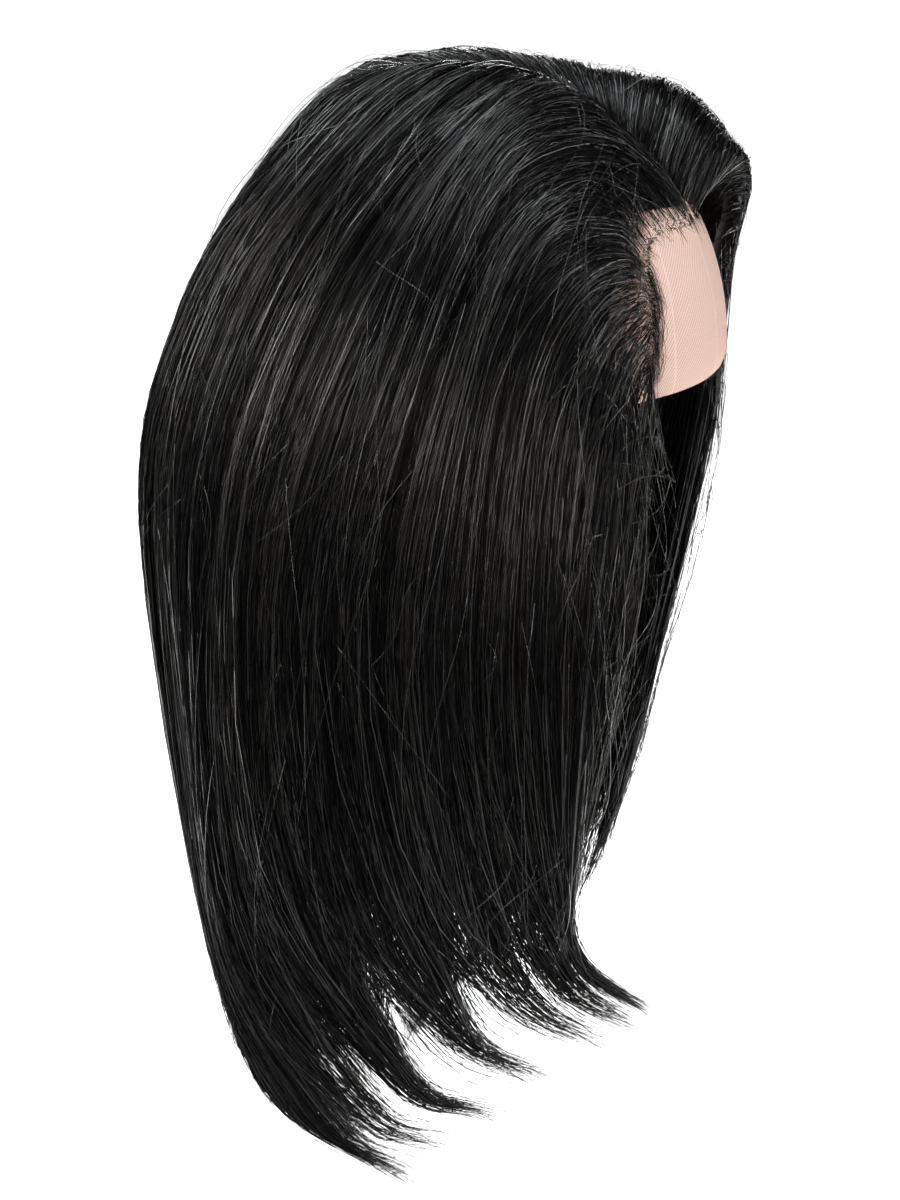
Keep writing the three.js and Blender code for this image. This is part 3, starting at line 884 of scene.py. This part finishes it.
def prisms(paths, radius, roll):
    """Thin closed prisms along paths: points, four-cornered sides and three-cornered ends."""
    count, rings, _ = paths.shape
    tangent = units(np.gradient(paths, axis=1))
    out = -inwards(paths)
    first = units(out - tangent * np.sum(out * tangent, axis=-1, keepdims=True))
    second = np.cross(tangent, first)
    angle = roll[:, None] + np.arange(STRAND_SIDES) * 2 * np.pi / STRAND_SIDES
    corner = (np.cos(angle)[:, None, :, None] * first[:, :, None, :]
              + np.sin(angle)[:, None, :, None] * second[:, :, None, :])
    points = (paths[:, :, None, :] + radius[:, :, None, None] * corner).reshape(-1, 3)
    start = np.arange(count)[:, None, None] * rings * STRAND_SIDES
    ring = np.arange(rings - 1)[None, :, None] * STRAND_SIDES
    side = np.arange(STRAND_SIDES)[None, None, :]
    beside = (side + 1) % STRAND_SIDES
    near = start + ring
    far = near + STRAND_SIDES
    quads = np.stack([near + side, near + beside, far + beside, far + side], axis=-1)
    ends = np.arange(count)[:, None] * rings * STRAND_SIDES + np.arange(STRAND_SIDES)
    tips = ends + (rings - 1) * STRAND_SIDES
    return points, quads.reshape(-1, 4), np.concatenate([ends[:, ::-1], tips])


def strand_piece(name, groups, draw):
    """Joins groups of strands, with paths, radii and lightness from 0 to 1 along them, into one piece."""
    points, quads, ends, shade_of_quad, shade_of_end = [], [], [], [], []
    before = 0
    for paths, radius, lightness in groups:
        count, rings, _ = paths.shape
        group_points, group_quads, group_ends = prisms(paths, radius, draw.uniform(0, 2 * np.pi, count))
        shade = np.searchsorted([row["until"] for row in HAIR_SHADES[:-1]], lightness)
        shade = np.broadcast_to(shade, (count, rings - 1))
        points.append(group_points)
        quads.append(group_quads + before)
        ends.append(group_ends + before)
        shade_of_quad.append(np.repeat(shade.ravel(), STRAND_SIDES))
        # Painted shade: every strand's root end takes the darkest shade.
        shade_of_end.append(np.concatenate([np.zeros(count, dtype=int), shade[:, -1]]))
        before += len(group_points)
    faces = [np.concatenate(quads), np.concatenate(ends)]
    shades = np.concatenate(shade_of_quad + shade_of_end)
    mesh_piece(name, np.concatenate(points), faces, hair_finishes, shades)


def tapered(radius, station, start, end):
    """A strand's radius along it: thin where it starts, full in the middle and drawn out at its tip."""
    share = (station - start[:, None]) / (end - start)[:, None]
    swell = TAPER_ROOT["thin"] + TAPER_ROOT["swell"] * smooth_step(0, TAPER_ROOT["share"], share)
    thin = 1 - TAPER_TIP["thins"] * smooth_step(TAPER_TIP["share"], 1, share)
    return radius[:, None] * swell * thin


def swept(sweep, across):
    """How far a sweep moves the hair of the right side, behind its front edge and in front of the back."""
    behind_edge = smooth_step(*sweep["behind_edge"], across)
    before_back = 1 - smooth_step(*RIGHT_SIDE_FADES, across / WAIST_LENGTH)
    return sweep["far"] * behind_edge * before_back


def on_crown(guide):
    """1 for guides that start at the crown, and 0 for those that start at the front of the parting."""
    return smooth_step(*CROWN_GUIDES, from_temple(guide))


def combed(across, sweep, start, end, rings, layer, inner, draw):
    """Paths of strands that lie in the hair from a start to an end station, on its outer or inner face."""
    count = len(across)
    share = np.linspace(0, 1, rings)[None, :]
    station = start[:, None] + (end - start)[:, None] * share
    fine = FINE.nearest(across)[:, None]
    broad = BROAD.nearest(across)[:, None]
    free = smooth_step(ROOT, ROOTS_COME_FREE, station)
    own_phase = draw.uniform(0, 2 * np.pi, (2, count, 1))
    slow = draw.normal(0, OWN_WANDER["slow"], (count, 1))
    own = slow * np.sin(OWN_WAVES["slow"] * station + own_phase[0])
    quick = draw.normal(0, OWN_WANDER["quick"], (count, 1))
    own = own + quick * np.sin(draw.uniform(*OWN_WAVES["quick"], (count, 1)) * station + own_phase[1])
    drift = draw.standard_t(DRIFT["tails"], (count, 1)).clip(-DRIFT["most"], DRIFT["most"])
    drift = drift * DRIFT["scale"] * (station - EAR) / (TIP - EAR)
    aside = FINE.wander(fine, station) + BROAD.wander(broad, station) + own + drift
    flowing = across[:, None] + FINE.hold(fine, station) * free * (FINE.middles[fine] - across[:, None])
    flowing = flowing + free * aside
    bunch = draw.uniform(*BUNCH["share"], (count, 1)) * smooth_step(*BUNCH["stations"], station)
    flowing = flowing + bunch * (BROAD.middles[broad] - flowing)
    not_yet_back = 1 - smooth_step(*SWEPT_BACK["stations"], station)
    flowing = flowing - swept(SWEPT_BACK, across)[:, None] * not_yet_back
    flowing = flowing - sweep[:, None] * smooth_step(*SWEEP["stations"], station)
    hem_lock = hem_lock_of(across - sweep)[:, None]
    veil = draw.uniform(0, 1, (count, 1)) < VEIL_SHARE
    loose = draw.uniform(0, 1, (count, 1))
    tight = draw.normal(*GATHER_VARIES, (count, 1))
    gather = np.clip(HEM_GATHER[hem_lock] * np.where(veil, loose, tight), 0, GATHER_MOST)
    flowing = gathered(flowing, station, hem_lock, gather)
    fan = draw.normal(0, FAN["aside"], (count, 1)) * np.maximum(station - FAN["starts"], 0) ** FAN["power"]
    surface = flicked(waist_to_guide(flowing + fan), station)
    depth = layer[:, None] - free * (FINE.rise(fine, station) + BROAD.rise(broad, station))
    depth = depth + draw.normal(0, TIP_LAYERS, (count, 1)) * smooth_step(BEND, TIP, station)
    if inner:
        depth = depth + body_deep(across[:, None], station)
    paths = surface + inwards(surface) * depth[..., None]
    further = draw.uniform(*STRAND_GAP["further"], (count, 1))
    gap = STRAND_GAP["root"] + further * smooth_step(0, STRAND_GAP["within"], station - start[:, None])
    return clear_of_cap(paths, gap), station


def rooted(guide, draw):
    """The stations where strands leave the parting, or the thin rows of roots behind the hairline."""
    crossing = PARTING_OVERLAP["crown"] - PARTING_OVERLAP["front"]
    at_parting = draw.uniform(-PARTING_OVERLAP["front"] - crossing * on_crown(guide), PARTING_BEHIND)
    at_hairline = draw.triangular(*HAIRLINE_STARTS, len(guide)) * thinness(guide)
    return (at_parting + (at_hairline - at_parting) * on_forehead(guide)) / root_length(guide)


def section_strands(section, draw):
    """All the loose strands of one section. The first stretch of the ones from the crown takes the darkest
    shade, as painted shade where they leave the parting.
    """
    low = guide_to_waist(section["from"])
    high = guide_to_waist(section["to"])
    groups = []
    for row in STRAND_KINDS:
        inner = row["kind"] == "inner"
        count = int((high - low) * row["per_metre"])
        across = draw.uniform(low, high, count)
        guide = waist_to_guide(across - swept(SWEPT_BACK, across))
        sweep = swept(SWEEP, across) * draw.normal(1, SWEEP["uneven"], count)
        end = TIP + HEM_LONGER[hem_lock_of(across - sweep)] + ENDS_PAST_TIP
        end = np.maximum(end - draw.gamma(**ENDS_SHORTER, size=count), SHORTEST_END)
        if "start" in row:
            start = draw.uniform(*row["start"], count)
            layer = draw.uniform(*row["layer"], count)
        else:
            start = rooted(guide, draw)
            layer = draw.exponential(SURFACE_LAYERS, count) - SURFACE_RAISED
        if inner:
            end = end - draw.uniform(*row["shorter"], count)
        paths, station = combed(across, sweep, start, end, row["rings"], layer, inner, draw)
        radius = row["radius"] * draw.uniform(*RADIUS_VARIES, count)
        lock_light = FINE.light[FINE.nearest(across)]
        in_lock = draw.uniform(0, 1, count) < LOCK_SHARE
        lightness = np.where(in_lock, lock_light, draw.uniform(0, 1, count))
        # Painted light: the inner strands are made lighter, to stand in for light on the dim inner face of
        # the hair.
        if inner:
            lightness = np.sqrt(lightness)
        lightness = np.repeat(lightness[:, None], row["rings"] - 1, axis=1)
        # Painted shade: the first stretch of each strand from the crown takes the darkest shade, where it
        # leaves the parting.
        lightness[:, 0] *= 1 - on_crown(guide)
        groups.append((paths, tapered(radius, station, start, end), lightness))
    return groups


hair_finishes = []
for row in HAIR_SHADES:
    shade, _, _ = finish(
        row["name"], base_color=row["colour"], roughness=row["roughness"], specular_ior_level=row["shine"])
    hair_finishes.append(shade)

for number, section in enumerate(SECTIONS):
    strand_draw = np.random.default_rng(FIRST_STRAND_SEED + number)
    strand_piece(section["node"] + "_strands", section_strands(section, strand_draw), strand_draw)

# Hairline
# Along the hairline each hair is tied into the lace with a tiny dark knot, closest at its front edge.
# Short soft hairs grow out of the knots, curl over the lace and run down along the hairline.
HAIRLINE_SEED = 201
HAIRLINE_ENDS = (0.03, 3.0)
KNOT_COUNT = 1900
KNOT_RADIUS = (0.18 * MM, 0.34 * MM)
KNOT_FRONT = 1.5 * MM
KNOT_REACH = 5.5 * MM
KNOT_CORNERS = 6
KNOT_FACES = [(0, 1, 2), (1, 3, 2), (3, 4, 2), (4, 0, 2), (1, 0, 5), (3, 1, 5), (4, 3, 5), (0, 4, 5)]
# Curls and soft hairs, by guide, with lengths in millimetres.
CURLS = 160
CURL = {
    "guide": (0.35, 1.7), "guides_down": (0.35, 0.9), "lowest_guide": 0.05, "left_share": 0.4,
    "root": (-6, 1), "low": (-1, 3), "lean": (2, 9), "lift": (0.3, 2), "end": (0, 3), "rings": 10,
}
SOFT_HAIRS = 420
SOFT = {"root": (-3, 1), "length": (1.5, 4), "stray": 0.7, "drop_share": (0.2, 0.9), "rings": 5}
BABY_RADIUS = 0.1 * MM
BABY_RADIUS_VARIES = (0.8, 1.3)
BABY_TIP = 0.35
BABY_GAP = 0.15 * MM
BABY_LIGHTNESS = 0.1
FOREHEAD_MIDDLE = np.array([0, -97, -92]) * MM


def mirrored_guides(guide, draw):
    """Half of the guides, moved to the same place on the left side."""
    return np.where(draw.uniform(0, 1, len(guide)) < 0.5, guide, LAST_GUIDE - guide)


def hairline_places(guide, forward):
    """Places on the lace, moved from the hairline towards the middle of the forehead, and that way."""
    root = hair_surface(guide, np.zeros_like(guide))
    way = FOREHEAD_MIDDLE - root
    way /= np.linalg.norm(way, axis=-1, keepdims=True)
    return on_cap(root + way * forward[:, None], 0)[0], way


def hair_knots(draw):
    """Tiny eight-sided knots in the lace along both sides of the hairline."""
    guide = mirrored_guides(draw.uniform(*HAIRLINE_ENDS, KNOT_COUNT), draw)
    forward = KNOT_FRONT - draw.exponential(KNOT_REACH, KNOT_COUNT)
    middle, _ = hairline_places(guide, forward)
    spikes = np.concatenate([np.eye(3), -np.eye(3)])
    radius = draw.uniform(*KNOT_RADIUS, KNOT_COUNT)
    points = middle[:, None, :] + radius[:, None, None] * spikes
    faces = np.array(KNOT_FACES)[None] + KNOT_CORNERS * np.arange(KNOT_COUNT)[:, None, None]
    mesh_piece("hair_knots", points.reshape(-1, 3), [faces.reshape(-1, 3)], [hair_finishes[0]])


def curve_through(a, b, c, d, rings):
    """Points along smooth curves that start at a, lean towards b and c and end at d."""
    t = np.linspace(0, 1, rings)[None, :, None]
    a, b, c, d = (corner[:, None, :] for corner in (a, b, c, d))
    return (1 - t) ** 3 * a + 3 * t * (1 - t) ** 2 * b + 3 * t ** 2 * (1 - t) * c + t ** 3 * d


def curls(draw):
    """Paths of hairs that leave the hairline, bow over the lace and run down to the temple."""
    guide = draw.uniform(*CURL["guide"], CURLS)
    lower = np.maximum(guide - draw.uniform(*CURL["guides_down"], CURLS), CURL["lowest_guide"])
    left = draw.uniform(0, 1, CURLS) < CURL["left_share"]
    guide = np.where(left, LAST_GUIDE - guide, guide)
    lower = np.where(left, LAST_GUIDE - lower, lower)
    root, way = hairline_places(guide, draw.uniform(*CURL["root"], CURLS) * MM)
    low, low_way = hairline_places(lower, draw.uniform(*CURL["low"], CURLS) * MM)
    lean = draw.uniform(*CURL["lean"], (CURLS, 1)) * MM
    lift = draw.uniform(*CURL["lift"], (CURLS, 1)) * MM
    end = low - low_way * draw.uniform(*CURL["end"], (CURLS, 1)) * MM
    over = root + way * lean - inwards(root) * lift
    under = low + low_way * lean - inwards(low) * lift
    return curve_through(root, over, under, end, CURL["rings"])


def soft_hairs(draw):
    """Paths of short hairs that point over the lace and droop."""
    guide = mirrored_guides(draw.uniform(*HAIRLINE_ENDS, SOFT_HAIRS), draw)
    root, way = hairline_places(guide, draw.uniform(*SOFT["root"], SOFT_HAIRS) * MM)
    onward = way + draw.normal(0, SOFT["stray"], (SOFT_HAIRS, 3))
    length = draw.uniform(*SOFT["length"], (SOFT_HAIRS, 1)) * MM
    drop = np.array([0, 0, -1]) * length * draw.uniform(*SOFT["drop_share"], (SOFT_HAIRS, 1))
    reach = onward * length
    return curve_through(root, root + reach / 3, root + reach * 2 / 3, root + reach + drop, SOFT["rings"])


def baby_hairs(draw):
    """The curls and the soft hairs as one piece of thin dark strands."""
    groups = []
    for paths in [curls(draw), soft_hairs(draw)]:
        count, rings, _ = paths.shape
        radius = BABY_RADIUS * draw.uniform(*BABY_RADIUS_VARIES, (count, 1))
        radius = radius * np.linspace(1, BABY_TIP, rings)
        groups.append((clear_of_cap(paths, BABY_GAP), radius, np.full((count, 1), BABY_LIGHTNESS)))
    strand_piece("baby_hairs", groups, draw)


hairline_draw = np.random.default_rng(HAIRLINE_SEED)
hair_knots(hairline_draw)
baby_hairs(hairline_draw)

# Flyaways and frizz
# A few long hairs have slipped out of the comb's line and lie loosely across the surface.
# Short broken hairs stand up along the crown and the sides and soften the outline.
# Starts, runs and ends along the hair are in stations, and lengths across it and off it in millimetres.
LOOSE_SEED = 301
FLYAWAYS = 750
# Painted highlight: the flyaways take the lightest shades, as loose hairs that catch the light.
FLYAWAY = {
    "edge_share": 0.2, "edge_stray": 4, "start": (0.3, 5.6), "run": (0.3, 1.8), "last": 6.8,
    "drift": 26, "curl": 4, "curl_waves": (2, 7), "bow": 1.1, "most_bow": 3, "height": 0.9,
    "varies": (0.7, 1.3), "tip_thins": 0.6, "lightness": (0.82, 1),
}
FLYAWAY_RADIUS = 0.16 * MM
FLYAWAY_RINGS = 12
FRIZZ_HAIRS = 1900
FRIZZ = {
    "crown_share": 0.6, "crown": 0.45, "crown_reach": 0.9, "sides": (1, 6.6), "last": 6.6,
    "lean": (0.4, 1.0), "aside": 0.45, "lift": (0.1, 0.6), "length": (2, 7.5),
    "droop": (-0.5, 0.4), "bend": 0.3, "varies": (0.7, 1.2), "tip": 0.4,
}
FRIZZ_RADIUS = 0.09 * MM
FRIZZ_RINGS = 5
SMALL_STEP = 0.1


def flyaways(draw):
    """Loose long hairs that bow off the surface and drift across the combed ones."""
    column = (FLYAWAYS, 1)
    across = draw.uniform(0, 1, column) * WAIST_LENGTH
    by_edge = draw.exponential(FLYAWAY["edge_stray"], column) * MM - FLYAWAY["edge_stray"] * MM
    by_edge = np.where(draw.uniform(0, 1, column) < 0.5, by_edge, WAIST_LENGTH - by_edge)
    across = np.where(draw.uniform(0, 1, column) < FLYAWAY["edge_share"], by_edge, across)
    start = draw.uniform(*FLYAWAY["start"], column)
    end = np.minimum(start + draw.uniform(*FLYAWAY["run"], column), FLYAWAY["last"])
    share = np.linspace(0, 1, FLYAWAY_RINGS)[None, :]
    station = start + (end - start) * share
    drift = draw.normal(0, FLYAWAY["drift"], column) * MM * (share - 0.5)
    curl = draw.normal(0, FLYAWAY["curl"], column) * MM
    curl = curl * np.sin(draw.uniform(*FLYAWAY["curl_waves"], column) * share)
    surface = flicked(waist_to_guide(across + drift + curl), station)
    bow = np.minimum(draw.exponential(FLYAWAY["bow"], column), FLYAWAY["most_bow"]) * MM
    height = FLYAWAY["height"] * MM + bow * np.sin(np.pi * share)
    paths = surface - inwards(surface) * height[..., None]
    radius = FLYAWAY_RADIUS * draw.uniform(*FLYAWAY["varies"], column) * (1 - FLYAWAY["tip_thins"] * share)
    # Painted highlight: lightness near 1 gives the flyaways the lightest shades.
    strand_piece("flyaways", [(paths, radius, draw.uniform(*FLYAWAY["lightness"], column))], draw)


def frizz(draw):
    """Short broken hairs that stand off the surface, most of them over the crown."""
    column = (FRIZZ_HAIRS, 1)
    across = draw.uniform(0, WAIST_LENGTH, FRIZZ_HAIRS)
    over_crown = draw.uniform(0, 1, FRIZZ_HAIRS) < FRIZZ["crown_share"]
    crown = FRIZZ["crown"] + draw.exponential(FRIZZ["crown_reach"], FRIZZ_HAIRS)
    station = np.where(over_crown, crown, draw.uniform(*FRIZZ["sides"], FRIZZ_HAIRS))
    station = np.minimum(station, FRIZZ["last"])
    guide = waist_to_guide(across)
    root = hair_surface(guide, station)
    onward = units(hair_surface(guide, station + SMALL_STEP) - root)
    out = -inwards(root)
    side = np.cross(onward, out)
    lean = onward * draw.uniform(*FRIZZ["lean"], column) + side * draw.normal(0, FRIZZ["aside"], column)
    lift = out * draw.uniform(*FRIZZ["lift"], column)
    length = draw.uniform(*FRIZZ["length"], (FRIZZ_HAIRS, 1, 1)) * MM
    share = np.linspace(0, 1, FRIZZ_RINGS)[None, :, None]
    bend = lift * draw.uniform(*FRIZZ["droop"], column) + side * draw.normal(0, FRIZZ["bend"], column)
    paths = root[:, None, :] + length * (share * (lean + lift)[:, None, :] + share ** 2 * bend[:, None, :])
    radius = FRIZZ_RADIUS * draw.uniform(*FRIZZ["varies"], column)
    radius = radius * np.linspace(1, FRIZZ["tip"], FRIZZ_RINGS)
    strand_piece("frizz", [(paths, radius, draw.uniform(0, 1, column))], draw)


loose_draw = np.random.default_rng(LOOSE_SEED)
flyaways(loose_draw)
frizz(loose_draw)
